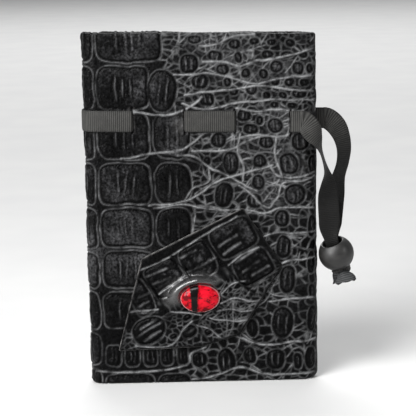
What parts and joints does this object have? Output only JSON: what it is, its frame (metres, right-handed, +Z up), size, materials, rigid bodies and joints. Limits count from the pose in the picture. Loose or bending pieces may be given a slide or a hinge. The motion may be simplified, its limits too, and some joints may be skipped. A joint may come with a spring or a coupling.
{
  "type": "drawstring dice bag",
  "caption": "Flat leather drawstring pouch with a lining, a grosgrain ribbon threaded through slits, a bead stopper, and a glass eye set in an eyelid patch.",
  "frame": {"origin": "centre of the flat bottom face that the bag stands on", "axes": "+Z up from the bottom seam to the mouth, -Y towards the front face that carries the eye, +X towards the seam where the drawstring comes out"},
  "size_m": [0.1217, 0.0201, 0.159],
  "materials": {
    "leather": "black crocodile-embossed, semi-gloss",
    "lining": "plain woven cotton",
    "ribbon": "black grosgrain with cross ribs",
    "thread": "twisted polyester thread",
    "bead": "black stained, satin",
    "iris": "printed foil, bright red with a black slit pupil",
    "glass": "clear polished dome"
  },
  "bodies": {
    "root": {"leather_back": "leather", "lining_back": "lining", "side_seam_thread": "thread", "bottom_seam_thread": "thread", "ribbon_fold_back": "ribbon", "ribbon_inside_left_back": "ribbon", "ribbon_stitch_back": "ribbon", "ribbon_inside_right_back": "ribbon", "ribbon_exit_back": "ribbon"},
    "front_panel": {"leather_front": "leather", "lining_front": "lining", "ribbon_fold_front": "ribbon", "ribbon_inside_left_front": "ribbon", "ribbon_stitch_front": "ribbon", "ribbon_inside_right_front": "ribbon", "ribbon_exit_front": "ribbon", "ribbon_turn_back": "ribbon", "eyelid_patch": "leather", "eye_iris": "iris", "eye_glass": "glass"},
    "tassel": {"ribbon_strand_front": "ribbon", "ribbon_strand_back": "ribbon", "ribbon_knot": "ribbon", "ribbon_tail_front": "ribbon", "ribbon_tail_back": "ribbon"},
    "bead": {"bead": "bead"}
  },
  "joints": [
    {"name": "mouth_open", "type": "hinge", "parent": "root", "child": "front_panel", "pos_m": [0, -0.00625, 0.0018], "axis": [1, 0, 0], "range_deg": [0, 8]},
    {"name": "tassel_swing", "type": "hinge", "parent": "front_panel", "child": "tassel", "pos_m": [0.0525, -0.0015, 0.115], "axis": [0, -1, 0], "range_deg": [0, 100], "deforming": ["ribbon_strand_front", "ribbon_strand_back"]},
    {"name": "bead_slide", "type": "slide", "parent": "tassel", "child": "bead", "axis": [0, 0, 1], "range_m": [0, 0.03], "deforming": ["ribbon_strand_front", "ribbon_strand_back"]}
  ]
}
